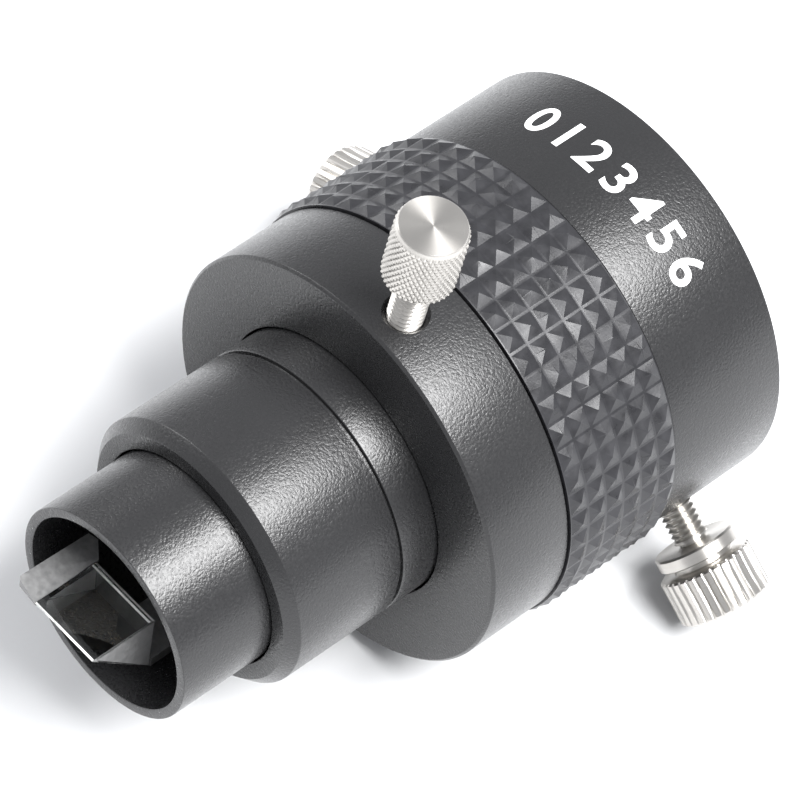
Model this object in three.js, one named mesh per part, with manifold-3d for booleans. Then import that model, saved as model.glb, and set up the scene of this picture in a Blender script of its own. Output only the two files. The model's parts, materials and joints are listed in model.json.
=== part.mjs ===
// Guider focuser head: a camera socket on a helical focuser, with a pick-off prism in its nose.
// Millimetres. The optical axis is +Y, from the nose to the camera, and +Z is up.
// Lengths along the axis are stations: 0 is the rim of the nose, and they grow towards the camera.
// Angles round the axis are clock angles in degrees: 0 is up (+Z) and 90 is +X.
import * as THREE from "three";
import { mergeVertices } from "three/addons/utils/BufferGeometryUtils.js";
import Module from "manifold-3d";

const wasm = await Module();
wasm.setup();

// Driving dimensions
const BODY_R = 24.5; // drum and camera sleeve
const BARREL_R = 15.875; // standard 1.25 inch barrel
const SOCKET_R = 15.95; // takes a standard 1.25 inch camera nose
const NOSE_R = 12.55;
const NOSE_BORE_R = 11.35;
const CREST_R = 25.25; // tips of the knurl
const VALLEY_R = 24.75;
const GUIDE_R = 19.3; // fixed tube under the focus ring
const GUIDE_BORE_R = 17.9;

// Stations along the axis
const BARREL_FRONT = 11.6;
const BARREL_REAR = 40.5;
const DRUM_FRONT = 31.7;
const DRUM_REAR = 42.3;
const RING_FRONT = 42.5;
const RING_REAR = 57.7;
const SLEEVE_FRONT = 57.9;
const SLEEVE_REAR = 73.7;

// Helix: the ring's groove moves the follower pin FOCUS_TRAVEL in FOCUS_TURN degrees.
const FOCUS_TRAVEL = 7;
const FOCUS_TURN = 300;
const PIN_STATION = 46.4;
const PIN_CLOCK = 60;
const PIN_R = 1.2;
const PIN_PLAY = 0.2;

// Thumbscrews
const CLAMP_STATION = 36.3;
const CLAMP_CLOCK = -1.8;
const HOLDER_STATION = 65.75;
const HOLDER_CLOCK = 119.4;
const THREAD_R = 2; // M4

// Prism
const PRISM_WIDTH = 9;
const PRISM_LEG = 8.4;
const PRISM_TOP = 1.75; // height of its entrance face above the axis
const PRISM_REAR = 2.9; // station of its exit face
const NOSE_CLOCK = -6; // how far the nose is turned in the barrel at rest

const ROUND = 40; // sides of a turned surface
const SMALL_ROUND = 16; // sides of a screw or a small hole
const FIT = 0.2; // radial play between parts that turn or slide
const SEAT = 0.05; // gap between faces that rest on each other

const COLOURS = {
  black_anodised: [0x17181a, 0.6, 0.42],
  ring_anodised: [0x1b1c1e, 0.6, 0.35],
  inner_black: [0x0d0d0e, 0.2, 0.8],
  stainless: [0xc9c6be, 1, 0.3],
  brass: [0xb08d4a, 1, 0.35],
  nylon: [0xe6e2d6, 0, 0.6],
  glass: [0x9aa4a8, 0, 0.05],
};

const part = new THREE.Group();

// Shapes ----------------------------------------------------------------------------------------

// A three.js geometry as a solid that can be cut and joined.
function solid(geometry) {
  const bare = new THREE.BufferGeometry();
  bare.setAttribute("position", geometry.getAttribute("position"));
  bare.setIndex(geometry.index);
  const merged = mergeVertices(bare, 1e-4);
  const mesh = new wasm.Mesh({
    numProp: 3,
    vertProperties: new Float32Array(merged.attributes.position.array),
    triVerts: new Uint32Array(merged.index.array),
  });
  return new wasm.Manifold(mesh);
}

// A solid back as three.js geometry.
function geometryOf(shape) {
  const mesh = shape.getMesh();
  const geometry = new THREE.BufferGeometry();
  geometry.setAttribute("position", new THREE.BufferAttribute(mesh.vertProperties, 3));
  geometry.setIndex(new THREE.BufferAttribute(mesh.triVerts, 1));
  return geometry;
}

function signedArea(points) {
  let sum = 0;
  for (let i = 0; i < points.length; i++) {
    const [r0, y0] = points[i];
    const [r1, y1] = points[(i + 1) % points.length];
    sum += r0 * y1 - r1 * y0;
  }
  return sum / 2;
}

// A closed profile of [radius, station] points turned about the axis, facing out.
function turned(profile, sides = ROUND) {
  const points = signedArea(profile) > 0 ? [...profile] : [...profile].reverse();
  const onAxis = points.some(([r]) => r === 0);
  const first = points.findIndex(([r], i) => r === 0 && points.at(i - 1)[0] === 0);
  const ordered = onAxis ? [...points.slice(first), ...points.slice(0, first)] : [...points, points[0]];
  const vectors = ordered.map(([r, y]) => new THREE.Vector2(r, y));
  return solid(new THREE.LatheGeometry(vectors, sides));
}

// A plain tube between two radii and two stations.
function tube(inner, outer, front, rear) {
  return turned([[inner, front], [outer, front], [outer, rear], [inner, rear]]);
}

// A flat outline of [station, height] points carried across the axis from x0 to x1.
function across(outline, x0, x1) {
  const shape = new THREE.Shape(outline.map(([y, z]) => new THREE.Vector2(y, z)));
  const geometry = new THREE.ExtrudeGeometry(shape, { depth: x1 - x0, bevelEnabled: false });
  const toRow = new THREE.Matrix4().makeBasis(
    new THREE.Vector3(0, 1, 0),
    new THREE.Vector3(0, 0, 1),
    new THREE.Vector3(1, 0, 0),
  );
  geometry.applyMatrix4(toRow);
  geometry.translate(x0, 0, 0);
  return solid(geometry);
}

function box(x0, x1, y0, y1, z0, z1) {
  return across([[y0, z0], [y1, z0], [y1, z1], [y0, z1]], x0, x1);
}

// Turns a shape built about +Z (up from the axis) round to a clock angle.
function clocked(shape, clock) {
  return shape.rotate([0, clock, 0]);
}

// A turned profile of [radius, distance from the axis] points that stands on a radius of the body.
function radial(profile, station, clock, sides = SMALL_ROUND) {
  const upright = turned(profile, sides).rotate([90, 0, 0]);
  return clocked(upright.translate([0, station, 0]), clock);
}

function add(name, shape, finish) {
  const [colour, metalness, roughness] = COLOURS[finish];
  const material = new THREE.MeshStandardMaterial({ color: colour, metalness, roughness });
  const mesh = new THREE.Mesh(geometryOf(shape), material);
  mesh.name = name;
  part.add(mesh);
}

// Fixed body ------------------------------------------------------------------------------------

const FLANGE_R = 23.3;
const FLANGE_REAR = 43.85;
const FLANGE_SCREW_CIRCLE = 21.3;
const FLANGE_SCREW_CLOCKS = [0, 120, 240];

// A profile turned about a line parallel to the axis, on the flange's screw circle.
function onScrewCircle(profile, clock) {
  return clocked(turned(profile, SMALL_ROUND).translate([0, 0, FLANGE_SCREW_CIRCLE]), clock);
}

// Countersunk hole for a thumbscrew, from a distance inside the body out through its surface.
function threadHole(from, station, clock) {
  const bore = THREAD_R + 0.1;
  const profile = [[0, from], [bore, from], [bore, BODY_R - 0.6], [bore + 0.6, BODY_R], [bore + 0.6, 26], [0, 26]];
  return radial(profile, station, clock);
}

function drum() {
  let body = turned([
    [16.1, DRUM_FRONT + 0.2],
    [16.3, DRUM_FRONT],
    [BODY_R - 0.3, DRUM_FRONT],
    [BODY_R, DRUM_FRONT + 0.3],
    [BODY_R, DRUM_REAR - 0.15],
    [BODY_R - 0.15, DRUM_REAR],
    [16.1, DRUM_REAR],
  ]);
  body = body.subtract(threadHole(15, CLAMP_STATION, CLAMP_CLOCK));
  const tapped = [[0, DRUM_REAR - 4.5], [0.95, DRUM_REAR - 4], [0.95, DRUM_REAR + 1], [0, DRUM_REAR + 1]];
  for (const clock of FLANGE_SCREW_CLOCKS) {
    body = body.subtract(onScrewCircle(tapped, clock));
  }
  return body;
}

// Straight slot that keeps the follower pin from turning.
function guideSlot() {
  const half = PIN_R + PIN_PLAY;
  const front = PIN_STATION - half;
  const rear = PIN_STATION + FOCUS_TRAVEL + half;
  return clocked(box(-half, half, front, rear, GUIDE_BORE_R - 2, GUIDE_R + 1), PIN_CLOCK);
}

function guideTube() {
  const front = DRUM_REAR + SEAT;
  let body = turned([
    [GUIDE_BORE_R, front],
    [FLANGE_R, front],
    [FLANGE_R, FLANGE_REAR],
    [GUIDE_R, FLANGE_REAR],
    [GUIDE_R, 60],
    [GUIDE_BORE_R, 60],
  ]);
  body = body.subtract(guideSlot());
  const counterbore = [[0, 41], [1.05, 41], [1.05, 42.8], [1.9, 42.8], [1.9, 45], [0, 45]];
  for (const clock of FLANGE_SCREW_CLOCKS) {
    body = body.subtract(onScrewCircle(counterbore, clock));
  }
  return body;
}

function flangeScrew(clock) {
  const profile = [[0, 39], [0.8, 39], [0.8, 42.9], [1.7, 42.9], [1.7, 43.7], [0, 43.7]];
  return onScrewCircle(profile, clock);
}

// Focus ring ------------------------------------------------------------------------------------

const KNURL_ROWS = 6;
const KNURL_COLUMNS = 55;
const KNURL_CLOCK = 24.1; // clock angle of one column of tips
const WAISTED = 0.05; // how much lower the tips are between the first and last rows

function polar(radius, station, clock) {
  const angle = THREE.MathUtils.degToRad(clock);
  return [radius * Math.sin(angle), station, radius * Math.cos(angle)];
}

// The ring's outside is a grid of square pyramids; its other faces are turned.
function knurledBlank() {
  const step = 360 / KNURL_COLUMNS;
  const rowHeight = (RING_REAR - RING_FRONT) / KNURL_ROWS;
  const outside = [];
  for (let row = 0; row <= KNURL_ROWS; row++) {
    outside.push([VALLEY_R, RING_FRONT + row * rowHeight]);
  }
  const inside = [
    [22, RING_REAR],
    [22, 55.8],
    [GUIDE_R + 0.3, 55.8],
    [GUIDE_R + 0.3, 44.25],
    [FLANGE_R + 0.3, 44.25],
    [FLANGE_R + 0.3, RING_FRONT],
  ];
  const profile = [...outside, ...inside];
  const corner = (i, column) => (i % profile.length) * KNURL_COLUMNS + (column % KNURL_COLUMNS);
  const positions = [];
  for (const [radius, station] of profile) {
    for (let column = 0; column < KNURL_COLUMNS; column++) {
      positions.push(...polar(radius, station, KNURL_CLOCK + (column - 0.5) * step));
    }
  }
  const faces = [];
  for (let i = 0; i < profile.length; i++) {
    for (let column = 0; column < KNURL_COLUMNS; column++) {
      const a = corner(i, column);
      const b = corner(i, column + 1);
      const c = corner(i + 1, column + 1);
      const d = corner(i + 1, column);
      if (i < KNURL_ROWS) {
        const tip = positions.length / 3;
        const station = RING_FRONT + (i + 0.5) * rowHeight;
        const crest = i === 0 || i === KNURL_ROWS - 1 ? CREST_R : CREST_R - WAISTED;
        positions.push(...polar(crest, station, KNURL_CLOCK + column * step));
        faces.push(a, b, tip, b, c, tip, c, d, tip, d, a, tip);
      } else {
        faces.push(a, b, d, b, c, d);
      }
    }
  }
  const geometry = new THREE.BufferGeometry();
  geometry.setAttribute("position", new THREE.Float32BufferAttribute(positions, 3));
  geometry.setIndex(faces);
  return solid(geometry);
}

// Helical groove for the follower pin, inside the ring.
function camGroove() {
  const half = PIN_R + PIN_PLAY;
  const overrun = THREE.MathUtils.radToDeg(half / GUIDE_R);
  const steps = 48;
  const positions = [];
  for (let i = 0; i <= steps; i++) {
    const turn = -overrun + ((FOCUS_TURN + 2 * overrun) * i) / steps;
    const station = PIN_STATION + (FOCUS_TRAVEL * turn) / FOCUS_TURN;
    const clock = PIN_CLOCK - turn;
    positions.push(...polar(GUIDE_R - 0.5, station - half, clock));
    positions.push(...polar(GUIDE_R - 0.5, station + half, clock));
    positions.push(...polar(21.4, station + half, clock));
    positions.push(...polar(21.4, station - half, clock));
  }
  const faces = [0, 1, 2, 0, 2, 3];
  for (let i = 0; i < steps; i++) {
    for (let side = 0; side < 4; side++) {
      const a = 4 * i + side;
      const b = 4 * i + ((side + 1) % 4);
      faces.push(b, a, b + 4, b + 4, a, a + 4);
    }
  }
  const end = 4 * steps;
  faces.push(end, end + 2, end + 1, end, end + 3, end + 2);
  const geometry = new THREE.BufferGeometry();
  geometry.setAttribute("position", new THREE.Float32BufferAttribute(positions, 3));
  geometry.setIndex(faces);
  return solid(geometry);
}

// Camera holder ---------------------------------------------------------------------------------

function holderSleeve() {
  let body = turned([
    [SOCKET_R, SLEEVE_REAR - 0.4],
    [SOCKET_R + 0.4, SLEEVE_REAR],
    [BODY_R - 0.5, SLEEVE_REAR],
    [BODY_R - 0.15, SLEEVE_REAR - 0.15],
    [BODY_R, SLEEVE_REAR - 0.5],
    [BODY_R, SLEEVE_FRONT + 0.15],
    [BODY_R - 0.15, SLEEVE_FRONT],
    [GUIDE_R + 0.3, SLEEVE_FRONT],
    [GUIDE_R + 0.3, 60.4],
    [17.1, 60.4],
    [17.1, 63],
    [SOCKET_R, 63],
    [SOCKET_R, 63.7],
    [17.3, 63.7],
    [17.3, 68],
    [SOCKET_R, 68],
  ]);
  for (const clock of [HOLDER_CLOCK, -HOLDER_CLOCK]) {
    body = body.subtract(threadHole(16.5, HOLDER_STATION, clock));
  }
  return body;
}

function drawtube() {
  const body = turned([
    [SOCKET_R, 45],
    [GUIDE_BORE_R - FIT, 45],
    [GUIDE_BORE_R - FIT, 60.35],
    [16.95, 60.35],
    [16.95, 62.9],
    [SOCKET_R, 62.9],
  ]);
  const pinHole = [[0, 15], [PIN_R + 0.1, 15], [PIN_R + 0.1, 19], [0, 19]];
  return body.subtract(radial(pinHole, PIN_STATION, PIN_CLOCK));
}

function followerPin() {
  const profile = [[0, 16.1], [PIN_R, 16.1], [PIN_R, 20.9], [PIN_R - 0.2, 21.1], [0, 21.1]];
  return radial(profile, PIN_STATION, PIN_CLOCK);
}

// Split brass ring that closes on the camera nose.
function compressionRing() {
  const ring = tube(16, 16.9, 63.8, 67.9);
  return ring.subtract(box(-1, 1, 63, 68, 15, 18));
}

// Prism nose ------------------------------------------------------------------------------------

function prismBarrel() {
  return turned([
    [NOSE_R + FIT, BARREL_FRONT + 0.25],
    [NOSE_R + FIT + 0.25, BARREL_FRONT],
    [14.65, BARREL_FRONT],
    [BARREL_R, BARREL_FRONT + 1.3],
    [BARREL_R, 26.5],
    [15.35, 26.5],
    [15.35, 27.1],
    [BARREL_R - 0.2, 27.1],
    [BARREL_R, 27.3],
    [BARREL_R, BARREL_REAR],
    [14, BARREL_REAR],
    [14, 14.8],
    [NOSE_R + FIT, 14.8],
  ]);
}

const CRADLE_SCREW_STATIONS = [6.2, 10];

function noseTube() {
  let body = turned([
    [NOSE_BORE_R, 0.2],
    [NOSE_BORE_R + 0.2, 0],
    [NOSE_R - 0.2, 0],
    [NOSE_R, 0.2],
    [NOSE_R, 15],
    [13.8, 15],
    [13.8, 16.8],
    [NOSE_BORE_R, 16.8],
  ]);
  const countersunk = [[0, 10], [0.95, 10], [0.95, 11.7], [1.85, 12.5], [1.85, 14], [0, 14]];
  for (const station of CRADLE_SCREW_STATIONS) {
    body = body.subtract(radial(countersunk, station, 180));
  }
  return body;
}

function cradleScrew(station) {
  const profile = [[0, 9.1], [0.7, 9.1], [0.7, 11.6], [1.6, 12.4], [0, 12.4]];
  return radial(profile, station, 180, 16);
}

// Right-angle prism: light enters its top face and leaves through its rear face.
function prism() {
  const front = PRISM_REAR - PRISM_LEG;
  const edge = 0.35;
  const outline = [
    [front + 0.2, PRISM_TOP],
    [front, PRISM_TOP - 0.08],
    [PRISM_REAR, PRISM_TOP - PRISM_LEG - 0.08],
    [PRISM_REAR, PRISM_TOP - edge],
    [PRISM_REAR - edge, PRISM_TOP],
  ];
  return across(outline, -PRISM_WIDTH / 2, PRISM_WIDTH / 2);
}

// Two flats on the cheek's top, either side of a diagonal crease, each given by three points.
const CHEEK_OUTER = -7.97;
const CHEEK_INNER = -PRISM_WIDTH / 2 - 0.15;
const CREASE = [[CHEEK_INNER, 3.1, PRISM_TOP], [CHEEK_OUTER, -4.2, PRISM_TOP]];
const CHEEK_FLATS = [
  [...CREASE, [CHEEK_INNER, -5.4, PRISM_TOP - 0.5]],
  [...CREASE, [CHEEK_OUTER, 4.6, PRISM_TOP - 0.4]],
];

// The part of a shape below a plane through three points.
function below(shape, points) {
  const plane = new THREE.Plane().setFromCoplanarPoints(...points.map((p) => new THREE.Vector3(...p)));
  if (plane.normal.z > 0) {
    plane.negate();
  }
  return shape.trimByPlane(plane.normal.toArray(), -plane.constant);
}

// Plate beside the prism: its plan of [x, station] cut to the slope of the mirrored face.
function cheek() {
  const front = PRISM_REAR - PRISM_LEG;
  const plan = [
    [CHEEK_INNER, front + 0.15],
    [CHEEK_INNER, 3.1],
    [-6.7, 4.8],
    [CHEEK_OUTER, 4.6],
    [CHEEK_OUTER, front + 0.9],
    [CHEEK_OUTER + 0.4, front + 0.6],
  ];
  const shape = new THREE.Shape(plan.map(([x, y]) => new THREE.Vector2(x, y)));
  const geometry = new THREE.ExtrudeGeometry(shape, { depth: 14, bevelEnabled: false });
  geometry.translate(0, 0, -12);
  const side = [[front, 3], [front, 1.1], [front + 11, -9.9], [front + 11, 3]];
  const body = solid(geometry).intersect(across(side, CHEEK_OUTER - 1, 0));
  return CHEEK_FLATS.reduce(below, body);
}

// Sole behind the lower half of the mirrored face, the cheek, and a foot screwed to the tube.
function prismCradle() {
  const front = PRISM_REAR - PRISM_LEG;
  const start = 4;
  const reach = 11.2;
  const sole = [
    [front + start, PRISM_TOP - 0.5 - start],
    [front + reach, PRISM_TOP - 0.5 - reach],
    [front + reach, PRISM_TOP - 2 - reach],
    [front + start, PRISM_TOP - 2 - start],
  ];
  let body = across(sole, CHEEK_OUTER, PRISM_WIDTH / 2 - 1.6);
  body = body.add(cheek());
  body = body.add(box(-3, 3, 5, 11.6, -12, -9.3));
  const inBore = turned([[0, -8], [NOSE_BORE_R - FIT, -8], [NOSE_BORE_R - FIT, 14], [0, 14]]);
  body = body.intersect(inBore);
  const tapped = [[0, 8.8], [0.85, 9], [0.85, 13], [0, 13]];
  for (const station of CRADLE_SCREW_STATIONS) {
    body = body.subtract(radial(tapped, station, 180, 16));
  }
  return body;
}

function retainingRing() {
  let ring = tube(11.6, 13.8, 17, 19);
  for (const clock of [90, -90]) {
    ring = ring.subtract(clocked(box(-0.6, 0.6, 18, 20, 11, 14.5), clock));
  }
  return ring;
}

// Thumbscrews -----------------------------------------------------------------------------------

// A ribbed head between two distances from the axis.
function ribbedHead(radius, from, to, ribs, depth) {
  const shape = new THREE.Shape();
  for (let i = 0; i < 2 * ribs; i++) {
    const angle = (Math.PI * i) / ribs;
    const r = i % 2 ? radius - depth : radius;
    const move = i === 0 ? "moveTo" : "lineTo";
    shape[move](r * Math.cos(angle), r * Math.sin(angle));
  }
  shape.closePath();
  const geometry = new THREE.ExtrudeGeometry(shape, { depth: to - from, bevelEnabled: false });
  geometry.translate(0, 0, from);
  const face = radius - 0.35;
  const blank = [[0, from], [face, from], [radius, from + 0.4], [radius, to - 0.4], [face, to], [0, to]];
  return solid(geometry).intersect(turned(blank, 2 * ribs).rotate([90, 0, 0]));
}

function thumbscrew(stem, head, station, clock) {
  const upright = turned(stem, SMALL_ROUND).rotate([90, 0, 0]).add(head);
  return clocked(upright.translate([0, station, 0]), clock);
}

function clampScrew() {
  const stem = [[0, 17.3], [1.6, 17.3], [THREAD_R, 17.7], [THREAD_R, 32.2], [0, 32.2]];
  return thumbscrew(stem, ribbedHead(3.96, 31.6, 40.2, 40, 0.12), CLAMP_STATION, CLAMP_CLOCK);
}

function holderScrew(clock) {
  const stem = [
    [0, 18.2],
    [1.6, 18.2],
    [THREAD_R, 18.6],
    [THREAD_R, 29.35],
    [4.65, 29.35],
    [4.75, 29.45],
    [4.75, 30.8],
    [4.65, 30.9],
    [3.35, 30.9],
    [3.35, 32.3],
    [0, 32.3],
  ];
  return thumbscrew(stem, ribbedHead(5.36, 31.83, 37.4, 32, 0.25), HOLDER_STATION, clock);
}

function pad(radius, from, to, station, clock) {
  return radial([[0, from], [radius, from], [radius, to], [0, to]], station, clock);
}

// Assembly --------------------------------------------------------------------------------------

add("drum", drum(), "black_anodised");
add("guide_tube", guideTube(), "inner_black");
FLANGE_SCREW_CLOCKS.forEach((clock, i) => add(`flange_screw_${i + 1}`, flangeScrew(clock), "stainless"));
add("front_slip_washer", tube(19.6, FLANGE_R, 43.9, 44.2), "nylon");
add("rear_slip_washer", tube(19.6, 21.8, 55.9, 56.3), "nylon");
add("ring_retainer", tube(19.4, 21.8, 56.4, 57.6), "inner_black");

add("focus_ring", knurledBlank().subtract(camGroove()), "ring_anodised");

add("holder_sleeve", holderSleeve(), "black_anodised");
add("drawtube", drawtube(), "inner_black");
add("follower_pin", followerPin(), "stainless");
add("compression_ring", compressionRing(), "brass");

add("prism_barrel", prismBarrel(), "black_anodised");
add("retaining_ring", retainingRing(), "inner_black");
add("field_stop", tube(9.5, 13.8, 25, 26), "inner_black");
add("nose_tube", clocked(noseTube(), NOSE_CLOCK), "black_anodised");
add("prism", clocked(prism(), NOSE_CLOCK), "glass");
add("prism_cradle", clocked(prismCradle(), NOSE_CLOCK), "inner_black");
CRADLE_SCREW_STATIONS.forEach((station, i) =>
  add(`cradle_screw_${i + 1}`, clocked(cradleScrew(station), NOSE_CLOCK), "stainless"),
);

add("clamp_pad", pad(1.8, 16, 17.2, CLAMP_STATION, CLAMP_CLOCK), "nylon");
add("clamp_screw", clampScrew(), "stainless");
for (const [side, clock] of [["right", HOLDER_CLOCK], ["left", -HOLDER_CLOCK]]) {
  add(`holder_pad_${side}`, pad(1.8, 17.05, 18.1, HOLDER_STATION, clock), "brass");
  add(`holder_screw_${side}`, holderScrew(clock), "stainless");
}

// The frame's origin is under the middle of the part, level with the lowest tips of the knurl.
const FRONT_END = PRISM_REAR - PRISM_LEG;
part.position.set(0, -(FRONT_END + SLEEVE_REAR) / 2, CREST_R);

export default part;
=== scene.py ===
"""Looks for the guider focuser head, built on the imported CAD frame.

Lengths in this script are millimetres until mesh_object() turns them into metres. A turned piece is
built round its own local Z: for the body that is the optical axis, for a thumbscrew its own axis.
"""
import json
import math
import random

import bmesh
import bpy
from mathutils import Matrix, Vector


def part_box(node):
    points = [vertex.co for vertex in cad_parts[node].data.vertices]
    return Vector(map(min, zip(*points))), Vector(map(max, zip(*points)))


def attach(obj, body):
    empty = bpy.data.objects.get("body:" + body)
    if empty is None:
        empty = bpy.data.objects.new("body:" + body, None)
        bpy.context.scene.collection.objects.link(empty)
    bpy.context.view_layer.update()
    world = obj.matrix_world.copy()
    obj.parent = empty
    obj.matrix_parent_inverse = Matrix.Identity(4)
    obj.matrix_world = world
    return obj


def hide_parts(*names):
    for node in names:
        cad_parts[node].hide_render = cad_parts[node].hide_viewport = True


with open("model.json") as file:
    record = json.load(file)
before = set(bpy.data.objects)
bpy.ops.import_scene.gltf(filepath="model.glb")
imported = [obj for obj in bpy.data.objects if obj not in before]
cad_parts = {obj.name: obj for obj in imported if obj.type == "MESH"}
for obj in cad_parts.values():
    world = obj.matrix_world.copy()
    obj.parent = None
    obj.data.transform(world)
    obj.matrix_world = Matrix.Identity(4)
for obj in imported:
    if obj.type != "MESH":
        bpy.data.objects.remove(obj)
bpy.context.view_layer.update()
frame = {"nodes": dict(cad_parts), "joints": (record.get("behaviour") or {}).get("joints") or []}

MM = 0.001
SIDES = 224  # sides of a large turned surface
SHARP_DEG = 32  # edges that turn more than this are shaded sharp


# Where things are, read from the frame ---------------------------------------------------------


def span(node):
    """Front and rear of a node along the optical axis."""
    low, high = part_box(node)
    return low.y / MM, high.y / MM


def middle(node):
    low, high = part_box(node)
    return (low + high) / 2 / MM


def joint_axis(name):
    """Direction of a joint in the row frame."""
    return Vector(next(j["axis"] for j in frame["joints"] if j["name"] == name))


AXIS_HEIGHT = middle("drum").z
RIM = span("nose_tube")[0]
DRUM_FRONT, DRUM_REAR = span("drum")
RING_FRONT, RING_REAR = span("focus_ring")
SLEEVE_FRONT, SLEEVE_REAR = span("holder_sleeve")
BARREL_FRONT, BARREL_REAR = span("prism_barrel")

BODY_R = 24.5
BARREL_R = 15.875
SOCKET_R = 15.95
NOSE_R = 12.55
NOSE_BORE_R = 11.35
GUIDE_R = 19.3
VALLEY_R = 24.75
CREST_R = 25.25
THREAD_R = 2.0
THREAD_PITCH = 0.7

# Local X points up and local Y to the right, so a local angle is a clock angle.
BODY_FRAME = Matrix(((0, 1, 0, 0), (0, 0, 1, 0), (1, 0, 0, AXIS_HEIGHT * MM), (0, 0, 0, 1)))


def radial_frame(direction, station):
    """Local Z runs out from the optical axis along direction; local X runs along the optical axis."""
    z = direction.normalized()
    x = Vector((0, 1, 0))
    y = z.cross(x)
    rotation = Matrix((x, y, z)).transposed().to_4x4()
    return Matrix.Translation(Vector((0, station, AXIS_HEIGHT)) * MM) @ rotation


# Mesh building ---------------------------------------------------------------------------------


def mesh_object(name, verts, faces, matrix=Matrix.Identity(4), sharp_deg=SHARP_DEG):
    mesh = bpy.data.meshes.new(name)
    mesh.from_pydata([Vector(v) * MM for v in verts], [], faces)
    mesh.validate()
    mesh.shade_smooth()
    mesh.set_sharp_from_angle(angle=math.radians(sharp_deg))
    obj = bpy.data.objects.new(name, mesh)
    bpy.context.scene.collection.objects.link(obj)
    obj.matrix_world = matrix
    return obj


def rounded(profile, size, closed):
    """A profile of (radius, z) points, or (radius, z, size), with its corners rounded."""
    out = []
    count = len(profile)
    for i, point in enumerate(profile):
        here = Vector(point[:2])
        bevel = point[2] if len(point) > 2 else size
        if bevel == 0 or (not closed and i in (0, count - 1)):
            out.append(tuple(here))
            continue
        before = Vector(profile[i - 1][:2]) - here
        after = Vector(profile[(i + 1) % count][:2]) - here
        bevel = min(bevel, before.length * 0.45, after.length * 0.45)
        start = here + before.normalized() * bevel
        end = here + after.normalized() * bevel
        for t in (0, 1 / 3, 2 / 3, 1):
            point_on_arc = start * (1 - t) ** 2 + here * 2 * t * (1 - t) + end * t * t
            out.append(tuple(point_on_arc))
    return out


def signed_area(points):
    return sum(a[0] * b[1] - b[0] * a[1] for a, b in zip(points, points[1:] + points[:1])) / 2


def turned(name, profile, matrix=BODY_FRAME, size=0.06, sides=SIDES):
    """A closed profile turned round local Z. A profile that starts and ends on the axis is a solid."""
    closed = profile[0][0] > 0
    points = rounded(profile, size, closed)
    if signed_area(points) < 0:
        points.reverse()
    if closed:
        points.append(points[0])
    rows = [[(r, z)] * sides for r, z in points]
    return formed(name, rows, matrix, closed)


def formed(name, rows, matrix, closed=False):
    """A surface of revolution whose rows hold one (radius, z) for each side."""
    sides = len(rows[0])
    if closed:
        rows = rows[:-1]
    angles = [2 * math.pi * k / sides for k in range(sides)]
    verts = []
    first = []
    for row in rows:
        first.append(len(verts))
        if row[0][0] == 0:
            verts.append((0, 0, row[0][1]))
            continue
        verts += [(r * math.cos(a), r * math.sin(a), z) for (r, z), a in zip(row, angles)]
    faces = []
    pairs = [(i, (i + 1) % len(rows)) for i in range(len(rows) if closed else len(rows) - 1)]
    for i, j in pairs:
        low_pole = rows[i][0][0] == 0
        high_pole = rows[j][0][0] == 0
        for k in range(sides):
            n = (k + 1) % sides
            a, b = first[i] + k, first[i] + n
            c, d = first[j] + n, first[j] + k
            if low_pole:
                faces.append((first[i], c, d))
            elif high_pole:
                faces.append((a, b, first[j]))
            else:
                faces.append((a, b, c, d))
    return mesh_object(name, verts, faces, matrix)


def block(name, x, y, z, matrix=Matrix.Identity(4)):
    """A box between pairs of limits."""
    verts = [(i, j, k) for i in x for j in y for k in z]
    faces = [(0, 1, 3, 2), (4, 6, 7, 5), (0, 4, 5, 1), (2, 3, 7, 6), (0, 2, 6, 4), (1, 5, 7, 3)]
    return mesh_object(name, verts, faces, matrix)


def cut(obj, *cutters):
    """Takes the cutters out of obj and removes them."""
    for cutter in cutters:
        modifier = obj.modifiers.new("cut", "BOOLEAN")
        modifier.operation = "DIFFERENCE"
        modifier.solver = "EXACT"
        modifier.object = cutter
    bpy.context.view_layer.update()
    depsgraph = bpy.context.evaluated_depsgraph_get()
    mesh = bpy.data.meshes.new_from_object(obj.evaluated_get(depsgraph))
    obj.modifiers.clear()
    obj.data = mesh
    mesh.shade_smooth()
    mesh.set_sharp_from_angle(angle=math.radians(SHARP_DEG))
    for cutter in cutters:
        bpy.data.objects.remove(cutter)
    return obj


def finish_piece(obj, body, material, slot, *stands_for):
    obj.data.materials.clear()
    obj.data.materials.append(material)
    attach(obj, body)
    if stands_for:
        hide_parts(*stands_for)
    return obj


# Materials -------------------------------------------------------------------------------------


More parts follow.
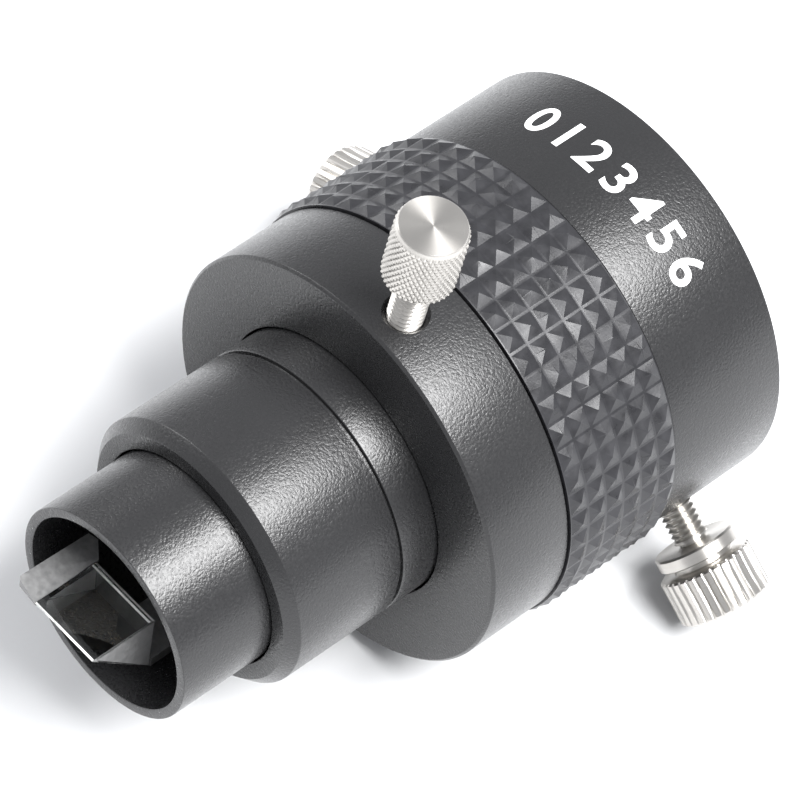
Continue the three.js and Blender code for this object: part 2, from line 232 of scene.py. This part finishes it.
class Shader:
    """A node material with a principled surface, built one link at a time."""

    def __init__(self, name):
        self.material = bpy.data.materials.new(name)
        self.material.use_nodes = True
        self.nodes = self.material.node_tree.nodes
        self.links = self.material.node_tree.links
        self.surface = self.nodes["Principled BSDF"]
        coordinates = self.nodes.new("ShaderNodeTexCoord")
        self.place = coordinates.outputs["Object"]

    def set(self, **values):
        for name, value in values.items():
            self.surface.inputs[name.replace("_", " ")].default_value = value

    def link(self, output, name):
        self.links.new(output, self.surface.inputs[name])

    def noise(self, scale, detail=2.0, roughness=0.5, where=None):
        node = self.nodes.new("ShaderNodeTexNoise")
        node.inputs["Scale"].default_value = scale
        node.inputs["Detail"].default_value = detail
        node.inputs["Roughness"].default_value = roughness
        self.links.new(where or self.place, node.inputs["Vector"])
        return node.outputs["Fac"]

    def spread(self, value, low, high, at=(0.3, 0.7)):
        """Maps a texture value between two limits onto low to high."""
        node = self.nodes.new("ShaderNodeMapRange")
        node.inputs["From Min"].default_value = at[0]
        node.inputs["From Max"].default_value = at[1]
        node.inputs["To Min"].default_value = low
        node.inputs["To Max"].default_value = high
        self.links.new(value, node.inputs["Value"])
        return node.outputs["Result"]

    def mix(self, factor, first, second):
        node = self.nodes.new("ShaderNodeMix")
        node.data_type = "RGBA"
        self.links.new(factor, node.inputs["Factor"])
        node.inputs["A"].default_value = (*first, 1)
        node.inputs["B"].default_value = (*second, 1)
        return node.outputs["Result"]

    def bump(self, height, depth_mm, under=None):
        node = self.nodes.new("ShaderNodeBump")
        node.inputs["Distance"].default_value = depth_mm * MM
        node.inputs["Strength"].default_value = 1.0
        self.links.new(height, node.inputs["Height"])
        if under is not None:
            self.links.new(under, node.inputs["Normal"])
        return node.outputs["Normal"]

    def math(self, operation, a, b=0.0):
        node = self.nodes.new("ShaderNodeMath")
        node.operation = operation
        for value, socket in ((a, node.inputs[0]), (b, node.inputs[1])):
            if isinstance(value, (int, float)):
                socket.default_value = value
            else:
                self.links.new(value, socket)
        return node.outputs[0]

    def radius(self):
        """Distance from local Z, in mm."""
        split = self.nodes.new("ShaderNodeSeparateXYZ")
        self.links.new(self.place, split.inputs[0])
        x2 = self.math("MULTIPLY", split.outputs["X"], split.outputs["X"])
        y2 = self.math("MULTIPLY", split.outputs["Y"], split.outputs["Y"])
        return self.math("DIVIDE", self.math("SQRT", self.math("ADD", x2, y2)), MM)

    def height(self):
        """Distance along local Z, in mm."""
        split = self.nodes.new("ShaderNodeSeparateXYZ")
        self.links.new(self.place, split.inputs[0])
        return self.math("DIVIDE", split.outputs["Z"], MM)


def blasted_anodised(name, colour):
    """Bead-blasted aluminium, anodised black: a fine grain that glitters under the lamp."""
    depth = 0.04
    s = Shader(name)
    grain = s.noise(6500, detail=1.0, roughness=0.6)
    dents = s.noise(3300, detail=1.0)
    cloud = s.noise(60, detail=3)
    s.link(s.mix(s.spread(cloud, 0, 1), colour, [c * 1.25 for c in colour]), "Base Color")
    s.link(s.spread(dents, 0.24, 0.36), "Roughness")
    coarse = s.bump(dents, depth)
    s.link(s.bump(grain, depth * 0.4, under=coarse), "Normal")
    s.set(Metallic=0.1, Specular_IOR_Level=0.5)
    return s.material


def cut_anodised(name, colour):
    """Machined, then anodised: smoother, with faint tool marks."""
    s = Shader(name)
    grain = s.noise(4200, detail=2)
    cloud = s.noise(650, detail=3)
    s.link(s.mix(s.spread(cloud, 0, 1), colour, [c * 1.6 for c in colour]), "Base Color")
    s.link(s.spread(cloud, 0.24, 0.42), "Roughness")
    s.link(s.bump(grain, 0.008), "Normal")
    s.set(Metallic=0.15, Specular_IOR_Level=0.4)
    return s.material


def matt_black(name):
    s = Shader(name)
    cloud = s.noise(300, detail=3)
    s.link(s.mix(s.spread(cloud, 0, 1), (0.006, 0.006, 0.007), (0.012, 0.012, 0.013)), "Base Color")
    s.link(s.spread(cloud, 0.5, 0.68), "Roughness")
    s.link(s.bump(s.noise(2500), 0.015), "Normal")
    return s.material


def turned_steel(name, colour, rough):
    """Stainless steel off the lathe: fine rings about its own axis and a stretched highlight."""
    s = Shader(name)
    combine = s.nodes.new("ShaderNodeCombineXYZ")
    s.links.new(s.radius(), combine.inputs["X"])
    s.links.new(s.height(), combine.inputs["Y"])
    marks = s.noise(40, detail=3, where=combine.outputs[0])
    cloud = s.noise(260, detail=2)
    s.link(s.mix(s.spread(cloud, 0, 1), colour, [c * 0.9 for c in colour]), "Base Color")
    s.link(s.spread(marks, *rough), "Roughness")
    s.link(s.bump(marks, 0.0015), "Normal")
    tangent = s.nodes.new("ShaderNodeTangent")
    tangent.direction_type = "RADIAL"
    tangent.axis = "Z"
    s.link(tangent.outputs[0], "Tangent")
    s.set(Metallic=1.0, Anisotropic=0.75, Anisotropic_Rotation=0.25)
    return s.material


def worked_metal(name, colour, rough):
    s = Shader(name)
    cloud = s.noise(500, detail=3)
    s.link(s.mix(s.spread(cloud, 0, 1), colour, [c * 0.85 for c in colour]), "Base Color")
    s.link(s.spread(cloud, *rough), "Roughness")
    s.link(s.bump(s.noise(2200), 0.006), "Normal")
    s.set(Metallic=1.0)
    return s.material


def soft_plastic(name, colour):
    s = Shader(name)
    cloud = s.noise(400, detail=2)
    s.link(s.mix(s.spread(cloud, 0, 1), colour, [c * 0.92 for c in colour]), "Base Color")
    s.link(s.spread(cloud, 0.45, 0.6), "Roughness")
    s.link(s.bump(s.noise(1800), 0.01), "Normal")
    return s.material


def optical_glass(name):
    s = Shader(name)
    haze = s.noise(500, detail=2)
    s.link(s.spread(haze, 0.0, 0.015), "Roughness")
    s.set(Base_Color=(0.97, 0.99, 0.98, 1), Transmission_Weight=1.0, IOR=1.52)
    return s.material


def ground_glass(name, colour):
    s = Shader(name)
    grit = s.noise(1500, detail=3)
    s.link(s.mix(s.spread(grit, 0, 1), colour, [c * 1.5 for c in colour]), "Base Color")
    s.link(s.spread(grit, 0.35, 0.55), "Roughness")
    s.link(s.bump(grit, 0.02), "Normal")
    return s.material


def studio_paper(name):
    s = Shader(name)
    fibre = s.noise(40, detail=4)
    s.link(s.mix(s.spread(fibre, 0, 1), (0.69, 0.695, 0.705), (0.7, 0.705, 0.715)), "Base Color")
    s.link(s.spread(fibre, 0.55, 0.7), "Roughness")
    return s.material


BLACK = blasted_anodised("black_anodised", (0.0155, 0.0155, 0.0163))
KNURL = cut_anodised("ring_anodised", (0.0165, 0.0165, 0.0185))
INNER = matt_black("inner_black")
STEEL = turned_steel("stainless", (0.55, 0.53, 0.5), (0.26, 0.38))
PLAIN_STEEL = worked_metal("screw_steel", (0.6, 0.59, 0.56), (0.3, 0.42))
BRASS = worked_metal("brass", (0.72, 0.52, 0.24), (0.25, 0.4))
NYLON = soft_plastic("nylon", (0.8, 0.78, 0.7))
GLASS = optical_glass("glass")
GROUND = ground_glass("ground_face", (0.12, 0.12, 0.12))
BEVEL = ground_glass("polished_bevel", (0.7, 0.7, 0.69))
WHITE = soft_plastic("white_print", (0.85, 0.85, 0.85))


# Body ------------------------------------------------------------------------------------------


def thread_hole(start, matrix):
    """Cutter for a countersunk hole from a distance inside the body out through its surface."""
    bore = THREAD_R + 0.08
    mouth = bore + 0.62
    outside = BODY_R + 2.5
    profile = [(0, start), (bore, start), (bore, BODY_R - 0.6), (mouth, BODY_R + 0.05)]
    profile += [(mouth, outside), (0, outside)]
    return turned("cutter", profile, matrix, 0, 64)


def make_drum():
    drum = turned("drum_shell", [
        (16.1, DRUM_FRONT, 0.15),
        (BODY_R - 0.3, DRUM_FRONT),
        (BODY_R, DRUM_FRONT + 0.3),
        (BODY_R, DRUM_REAR, 0.12),
        (16.1, DRUM_REAR, 0.1),
    ])
    clamp = radial_frame(joint_axis("clamp_travel"), middle("clamp_screw").y)
    cut(drum, thread_hole(14, clamp))
    finish_piece(drum, "main_body", BLACK, "black_anodised", "drum")


def make_guide_tube():
    front, rear = span("guide_tube")
    tube = turned("guide_tube_fine", [
        (17.9, front),
        (23.3, front),
        (23.3, front + 1.5),
        (GUIDE_R, front + 1.5),
        (GUIDE_R, rear, 0.3),
        (17.9, rear, 0.2),
    ])
    finish_piece(tube, "main_body", INNER, "inner_black", "guide_tube")


def make_retainer():
    front, rear = span("ring_retainer")
    ring = turned("ring_retainer_fine", [(19.4, front), (21.8, front), (21.8, rear), (19.4, rear)])
    finish_piece(ring, "main_body", INNER, "inner_black", "ring_retainer")


# Focus ring ------------------------------------------------------------------------------------

KNURL_ROWS = 6
KNURL_COLUMNS = 55
KNURL_CLOCK = 24.1  # clock angle of one column of tips
WAISTED = 0.05  # how much lower the tips are between the first and last rows
WEAR = 0.06  # the most that a tip is worn down


def knurl_cell():
    """Places across one pyramid, in pitches: groove floor, foot, and a small flat on top."""
    floor, tip = 0.055, 0.02
    return [-0.5, -0.5 + floor, -tip, tip, 0.5 - floor]


def make_focus_ring():
    """The ring's outside is a grid of pyramids between flat-bottomed grooves."""
    row_height = (RING_REAR - RING_FRONT) / KNURL_ROWS
    stops = knurl_cell()
    rise = {0: 0.0, 1: 0.02, 2: 1.0, 3: 1.0, 4: 0.02}
    wear = random.Random(7)

    def radius(i, j, row):
        rise_here = min(rise[i], rise[j])
        top = CREST_R if row in (0, KNURL_ROWS - 1) else CREST_R - WAISTED
        nick = wear.uniform(0, WEAR) if rise_here == 1.0 else 0
        return VALLEY_R + (top - VALLEY_R) * rise_here - nick

    columns = []
    for column in range(KNURL_COLUMNS):
        for i, stop in enumerate(stops):
            angle = math.radians(KNURL_CLOCK + (column + stop) * 360 / KNURL_COLUMNS)
            columns.append((i, angle))
    rows = []
    for row in range(KNURL_ROWS):
        for j, stop in enumerate(stops):
            rows.append((j, row, RING_FRONT + (row + 0.5 + stop) * row_height))
    rows.append((0, KNURL_ROWS, RING_REAR))
    inside = [
        (VALLEY_R - 0.25, RING_REAR),
        (22, RING_REAR),
        (22, RING_REAR - 1.9),
        (GUIDE_R + 0.3, RING_REAR - 1.9),
        (GUIDE_R + 0.3, RING_FRONT + 1.75),
        (23.6, RING_FRONT + 1.75),
        (23.6, RING_FRONT),
        (VALLEY_R - 0.25, RING_FRONT),
    ]
    verts = []
    for j, row, z in rows:
        for i, angle in columns:
            r = radius(i, j, row)
            verts.append((r * math.cos(angle), r * math.sin(angle), z))
    for r, z in inside:
        verts += [(r * math.cos(angle), r * math.sin(angle), z) for _, angle in columns]
    count = len(columns)
    total = len(rows) + len(inside)
    faces = []
    for j in range(total):
        low, high = j * count, ((j + 1) % total) * count
        for i in range(count):
            n = (i + 1) % count
            a, b, c, d = low + i, low + n, high + n, high + i
            if (i % 5, j % 5) in ((1, 3), (3, 1)) and j < len(rows) - 1:
                faces += [(a, b, d), (b, c, d)]
            else:
                faces += [(a, b, c), (a, c, d)]
    ring = mesh_object("focus_ring_knurled", verts, faces, BODY_FRAME, sharp_deg=12)
    finish_piece(ring, "focus_ring", KNURL, "ring_anodised", "focus_ring")


# Camera holder ---------------------------------------------------------------------------------


def holder_screws():
    """Name ending and frame of each camera screw."""
    for side in ("right", "left"):
        axis = joint_axis(f"holder_{side}_travel")
        yield side, radial_frame(axis, middle(f"holder_screw_{side}").y)


def make_sleeve():
    sleeve = turned("camera_sleeve", [
        (GUIDE_R + 0.3, SLEEVE_FRONT),
        (BODY_R, SLEEVE_FRONT, 0.12),
        (BODY_R, SLEEVE_REAR, 0.45),
        (SOCKET_R, SLEEVE_REAR, 0.4),
        (SOCKET_R, SLEEVE_REAR - 5.7),
        (17.3, SLEEVE_REAR - 5.7),
        (17.3, SLEEVE_REAR - 10),
        (SOCKET_R, SLEEVE_REAR - 10),
        (SOCKET_R, SLEEVE_REAR - 10.7),
        (17.1, SLEEVE_REAR - 10.7),
        (17.1, SLEEVE_REAR - 13.3),
        (GUIDE_R + 0.3, SLEEVE_REAR - 13.3),
    ])
    cut(sleeve, *[thread_hole(16.5, matrix) for _, matrix in holder_screws()])
    finish_piece(sleeve, "camera_holder", BLACK, "black_anodised", "holder_sleeve")


def make_drawtube():
    front, _ = span("drawtube")
    tube = turned("drawtube_fine", [
        (SOCKET_R, front, 0.3),
        (17.7, front),
        (17.7, front + 15.35),
        (16.95, front + 15.35),
        (16.95, front + 17.9),
        (SOCKET_R, front + 17.9),
    ])
    finish_piece(tube, "camera_holder", INNER, "inner_black", "drawtube")


def make_compression_ring():
    front, rear = span("compression_ring")
    ring = turned("compression_ring_fine", [(16, front), (16.9, front), (16.9, rear), (16, rear)])
    cut(ring, block("cutter", (15, 18), (-1, 1), (front - 1, rear + 1), BODY_FRAME))
    finish_piece(ring, "camera_holder", BRASS, "brass", "compression_ring")


# Nose ------------------------------------------------------------------------------------------


def make_barrel():
    f = BARREL_FRONT
    barrel = turned("barrel_fine", [
        (12.75, f, 0.22),
        (14.65, f, 0.05),
        (BARREL_R, f + 1.3, 0.08),
        (BARREL_R, f + 14.9, 0.1),
        (15.35, f + 14.9),
        (15.35, f + 15.5),
        (BARREL_R, f + 15.5, 0.2),
        (BARREL_R, BARREL_REAR, 0.2),
        (14, BARREL_REAR),
        (14, f + 3.2),
        (12.75, f + 3.2),
    ])
    finish_piece(barrel, "prism_barrel", BLACK, "black_anodised", "prism_barrel")


def make_inner_rings():
    for node, inner in (("retaining_ring", 11.6), ("field_stop", 9.5)):
        front, rear = span(node)
        ring = turned(node + "_fine", [(inner, front, 0.25), (13.8, front), (13.8, rear), (inner, rear)])
        finish_piece(ring, "prism_barrel", INNER, "inner_black", node)


def make_nose_tube():
    tube = turned("nose_tube_fine", [
        (NOSE_BORE_R, RIM, 0.16),
        (NOSE_R, RIM, 0.16),
        (NOSE_R, RIM + 15),
        (13.8, RIM + 15),
        (13.8, RIM + 16.8),
        (NOSE_BORE_R, RIM + 16.8),
    ])
    cutters = []
    for i in (1, 2):
        down = middle(f"cradle_screw_{i}") - Vector((0, 0, AXIS_HEIGHT))
        matrix = radial_frame(Vector((down.x, 0, down.z)), down.y)
        profile = [(0, 10), (0.9, 10), (0.9, 11.7), (1.75, 12.5), (1.75, 14), (0, 14)]
        cutters.append(turned("cutter", profile, matrix, 0, 32))
    cut(tube, *cutters)
    finish_piece(tube, "prism_nose", BLACK, "black_anodised", "nose_tube")


def nose_frame():
    """Local X across the prism, local Y along the optical axis from the rim, local Z up the nose."""
    low_screw = middle("cradle_screw_1") - Vector((0, 0, AXIS_HEIGHT))
    up = -Vector((low_screw.x, 0, low_screw.z)).normalized()
    along = Vector((0, 1, 0))
    rotation = Matrix((along.cross(up), along, up)).transposed().to_4x4()
    return Matrix.Translation(Vector((0, RIM, AXIS_HEIGHT)) * MM) @ rotation


def prism_plates(matrix, front, rear, top, leg, half):
    """Ground end faces on the prism, drawn a little inside its edges."""
    outline = [
        (front + 0.25, top - 0.05),
        (rear - 0.05, top - leg),
        (rear - 0.05, top - 0.3),
        (rear - 0.35, top - 0.05),
    ]
    for side, x in (("right", half), ("left", -half)):
        skin = 0.02 if x > 0 else -0.02
        verts = [(x, y, z) for y, z in outline]
        verts += [(x + skin, y, z) for y, z in outline]
        faces = [(0, 1, 2, 3), (7, 6, 5, 4)]
        faces += [(i, (i + 1) % 4, (i + 1) % 4 + 4, i + 4) for i in range(4)]
        face = mesh_object(f"prism_end_{side}", verts, faces, matrix)
        finish_piece(face, "prism_nose", GROUND, "glass")


def prism_strips(matrix, front, rear, top, half):
    """The bright bevels along the prism's entrance face."""
    strips = {
        "rear_bevel": ((rear - 0.38, top), (rear, top - 0.36)),
        "rear_land": ((rear - 0.85, top), (rear - 0.6, top)),
        "front_bevel": ((front, top - 0.1), (front + 0.2, top)),
    }
    for name, (start, end) in strips.items():
        verts = []
        for lift in (0.005, 0.02):
            for x in (-half, half):
                verts += [(x, y, z + lift) for y, z in (start, end)]
        faces = [(0, 2, 3, 1), (4, 5, 7, 6), (0, 1, 5, 4), (2, 6, 7, 3), (0, 4, 6, 2), (1, 3, 7, 5)]
        strip = mesh_object(f"prism_{name}", verts, faces, matrix)
        finish_piece(strip, "prism_nose", BEVEL, "glass")


def make_prism_edges():
    """The prism's entrance face is at top, and its legs run from there and from the rear."""
    top, rear, leg, half = 1.75, 2.9, 8.4, 4.5
    front = rear - leg
    matrix = nose_frame()
    prism_plates(matrix, front, rear, top, leg, half)
    prism_strips(matrix, front, rear, top, half)


# Thumbscrews -----------------------------------------------------------------------------------


def fraction(value):
    return value - math.floor(value)


def thread_rows(major, pitch, low, high, sides):
    """Rows of a right-hand metric thread between two heights, its ends run out."""
    depth = 0.48 * pitch
    count = round((high - low) / pitch * 9)
    rows = []
    for i in range(count + 1):
        z = low + (high - low) * i / count
        fade = min(1.0, (z - low) / pitch, (high - z) / pitch)
        row = []
        for k in range(sides):
            phase = fraction(z / pitch - k / sides)
            wave = abs(2 * phase - 1)
            groove = min(1.0, max(0.0, (wave - 0.12) / 0.76))
            row.append((major - depth * groove * fade, z))
        rows.append(row)
    return rows


def plain(sides, *points):
    """Rows with the same radius all round."""
    return [[(r, z)] * sides for r, z in points]


def diamond_rows(radius, low, high, starts, lead, depth, sides):
    """A diamond knurl: left and right grooves that leave raised pyramids."""
    count = round((high - low) / 0.1)
    rows = []
    for i in range(count + 1):
        z = low + (high - low) * i / count
        row = []
        for k in range(sides):
            turn = starts * k / sides
            u = abs(2 * fraction(turn + z / lead) - 1)
            v = abs(2 * fraction(turn - z / lead) - 1)
            rise = min(u, v, 0.62) / 0.62
            row.append((radius - depth * (1 - rise), z))
        rows.append(row)
    return rows


def rib_rows(radius, heights, ribs, depth, sides):
    """Straight ribs: broad lands with a narrow round-bottomed groove between them."""
    rows = []
    for z in heights:
        row = []
        for k in range(sides):
            away = abs(2 * fraction(ribs * k / sides) - 1)
            groove = max(0.0, 1 - (away / 0.36) ** 2)
            row.append((radius - depth * math.sqrt(groove), z))
        rows.append(row)
    return rows


def make_clamp_screw():
    sides = 240
    matrix = radial_frame(joint_axis("clamp_travel"), middle("clamp_screw").y)
    rows = plain(sides, (0, 17.3), (1.5, 17.3), (1.56, 17.4))
    rows += thread_rows(THREAD_R, THREAD_PITCH, 17.6, 31.2, sides)
    rows += plain(sides, (1.58, 31.3), (1.58, 31.5), (1.7, 31.6), (3.4, 31.6), (3.6, 31.66))
    rows += diamond_rows(3.96, 31.9, 39.5, 40, 1.06, 0.17, sides)
    rows += plain(sides, (3.8, 39.6), (3.72, 39.95), (3.68, 40.1), (3.58, 40.2), (1.7, 40.2), (0, 40.2))
    screw = formed("clamp_thumbscrew", rows, matrix)
    finish_piece(screw, "clamp_screw", STEEL, "stainless", "clamp_screw")


def make_holder_screws():
    sides = 256
    for side, matrix in holder_screws():
        rows = plain(sides, (0, 18.2), (1.45, 18.2), (1.56, 18.35))
        rows += thread_rows(THREAD_R, THREAD_PITCH, 18.5, 28.9, sides)
        rows += plain(sides, (1.58, 29.0), (1.58, 29.3), (1.66, 29.35), (4.55, 29.35), (4.75, 29.58))
        rows += plain(sides, (4.75, 30.78), (4.63, 30.9), (3.45, 30.9), (3.35, 30.98), (3.35, 31.7))
        rows += plain(sides, (3.48, 31.83), (4.95, 31.83), (5.12, 31.9))
        rows += rib_rows(5.36, (32.1, 33.5, 35.2, 37.0), 32, 0.23, sides)
        rows += plain(sides, (5.08, 37.22), (4.92, 37.34), (4.7, 37.4), (2, 37.4), (0, 37.4))
        screw = formed(f"holder_thumbscrew_{side}", rows, matrix)
        finish_piece(screw, f"holder_{side}_screw", STEEL, "stainless", f"holder_screw_{side}")


# Dial marks ------------------------------------------------------------------------------------

DIGIT_SIZE = 6.1
DIGIT_BOLD = 0.09  # how far the outline is thickened
DIGIT_SLICE = 0.25  # width of the strips a number is bent in
DIAL_START = -28  # clock angle of the first number, in degrees
DIAL_STEP = 9.2


def text_mesh(text, size, bold):
    """The faces of a line of text, centred, as a flat bmesh in millimetres."""
    curve = bpy.data.curves.new("digit", "FONT")
    curve.body = text
    curve.size = size
    curve.offset = bold
    curve.align_x = "CENTER"
    curve.align_y = "CENTER"
    curve.resolution_u = 6
    obj = bpy.data.objects.new("digit", curve)
    bpy.context.scene.collection.objects.link(obj)
    bpy.context.view_layer.update()
    mesh = bpy.data.meshes.new_from_object(obj.evaluated_get(bpy.context.evaluated_depsgraph_get()))
    bm = bmesh.new()
    bm.from_mesh(mesh)
    bpy.data.objects.remove(obj)
    return bm


def make_dial_number(number, clock, station):
    """A printed number bent round the sleeve, with a little thickness."""
    bm = text_mesh(str(number), DIGIT_SIZE, DIGIT_BOLD)
    for i in range(-12, 13):
        geometry = bm.verts[:] + bm.edges[:] + bm.faces[:]
        place = (i * DIGIT_SLICE, 0, 0)
        bmesh.ops.bisect_plane(bm, geom=geometry, plane_co=place, plane_no=(1, 0, 0))
    bmesh.ops.remove_doubles(bm, verts=bm.verts, dist=1e-4)
    extruded = bmesh.ops.extrude_face_region(bm, geom=bm.faces[:])
    raised = {v for v in extruded["geom"] if isinstance(v, bmesh.types.BMVert)}
    for v in bm.verts:
        r = BODY_R + (0.03 if v in raised else -0.02)
        angle = math.radians(clock) + v.co.x / BODY_R
        y = v.co.y
        v.co = (r * math.sin(angle), station + y, AXIS_HEIGHT + r * math.cos(angle))
    bmesh.ops.recalc_face_normals(bm, faces=bm.faces)
    bm.verts.index_update()
    verts = [tuple(v.co) for v in bm.verts]
    faces = [[v.index for v in f.verts] for f in bm.faces]
    bm.free()
    piece = mesh_object(f"dial_number_{number}", verts, faces)
    finish_piece(piece, "camera_holder", WHITE, "nylon")


def make_dial():
    station = (SLEEVE_FRONT + SLEEVE_REAR) / 2
    for number in range(7):
        make_dial_number(number, DIAL_START + DIAL_STEP * number, station)


# CAD nodes that stay ---------------------------------------------------------------------------


def dress(node, material, bevel=0.0):
    obj = frame["nodes"][node]
    obj.data.materials.clear()
    obj.data.materials.append(material)
    if bevel:
        modifier = obj.modifiers.new("edge", "BEVEL")
        modifier.width = bevel * MM
        modifier.segments = 2
        modifier.limit_method = "ANGLE"
        modifier.angle_limit = math.radians(35)
    return obj


def dress_cad_nodes():
    for i in (1, 2, 3):
        dress(f"flange_screw_{i}", PLAIN_STEEL)
    for i in (1, 2):
        dress(f"cradle_screw_{i}", PLAIN_STEEL)
    dress("front_slip_washer", NYLON)
    dress("rear_slip_washer", NYLON)
    dress("follower_pin", PLAIN_STEEL)
    dress("clamp_pad", NYLON)
    dress("holder_pad_right", BRASS)
    dress("holder_pad_left", BRASS)
    dress("prism", GLASS)
    dress("prism_cradle", GROUND, 0.12)


# Studio ----------------------------------------------------------------------------------------


def make_floor():
    """Pale paper that the ring and the right camera screw rest on."""
    tilt = math.radians(4.8)
    down = Vector((math.sin(tilt), 0, -math.cos(tilt)))
    point = Vector((0, 0, AXIS_HEIGHT)) + down * CREST_R
    size = 1500
    floor = block("floor", (-size, size), (-size, size), (-2, 0))
    turn = Vector((0, 0, 1)).rotation_difference(-down).to_matrix().to_4x4()
    floor.matrix_world = Matrix.Translation(point * MM) @ turn
    floor.data.materials.append(studio_paper("paper"))


def add_lamp(name, direction, distance, size, power):
    """A rectangular softbox that faces the object."""
    light = bpy.data.lights.new(name, "AREA")
    light.shape = "RECTANGLE"
    light.size, light.size_y = size
    light.energy = power
    lamp = bpy.data.objects.new(name, light)
    bpy.context.scene.collection.objects.link(lamp)
    direction = Vector(direction).normalized()
    lamp.location = Vector((0, 0, 0.025)) + direction * distance
    lamp.rotation_mode = "QUATERNION"
    lamp.rotation_quaternion = direction.to_track_quat("Z", "Y")


def make_lights():
    add_lamp("key", (0.37, 0.14, 0.92), 0.8, (0.6, 0.36), 17.5)
    add_lamp("side", (-0.9, -0.2, 0.45), 0.9, (0.5, 0.5), 4.5)
    world = bpy.data.worlds.new("studio")
    bpy.context.scene.world = world
    world.use_nodes = True
    background = world.node_tree.nodes["Background"]
    background.inputs["Color"].default_value = (0.95, 0.965, 1.0, 1)
    background.inputs["Strength"].default_value = 0.72


def make_camera():
    """A long lens that looks from the nose end, high up, and rolled."""
    azimuth, elevation, roll = math.radians(31.17), math.radians(56.71), math.radians(20.6)
    target = Vector((1.34, 3.63, AXIS_HEIGHT + 8.68)) * MM
    distance = 565.6 * MM
    flat = math.cos(elevation)
    back = Vector((math.sin(azimuth) * flat, -math.cos(azimuth) * flat, math.sin(elevation)))
    data = bpy.data.cameras.new("camera")
    data.sensor_width = 36
    data.lens = 244.4
    data.clip_start = 0.01
    data.clip_end = 10
    camera = bpy.data.objects.new("camera", data)
    bpy.context.scene.collection.objects.link(camera)
    camera.location = target + back * distance
    camera.rotation_mode = "QUATERNION"
    turn = back.to_track_quat("Z", "Y").to_matrix().to_4x4() @ Matrix.Rotation(roll, 4, "Z")
    camera.rotation_quaternion = turn.to_quaternion()
    bpy.context.scene.camera = camera


make_drum()
make_guide_tube()
make_retainer()
make_focus_ring()
make_sleeve()
make_drawtube()
make_compression_ring()
make_barrel()
make_inner_rings()
make_nose_tube()
make_prism_edges()
make_clamp_screw()
make_holder_screws()
make_dial()
dress_cad_nodes()
make_floor()
make_lights()
make_camera()
bpy.context.scene.view_settings.view_transform = "Standard"
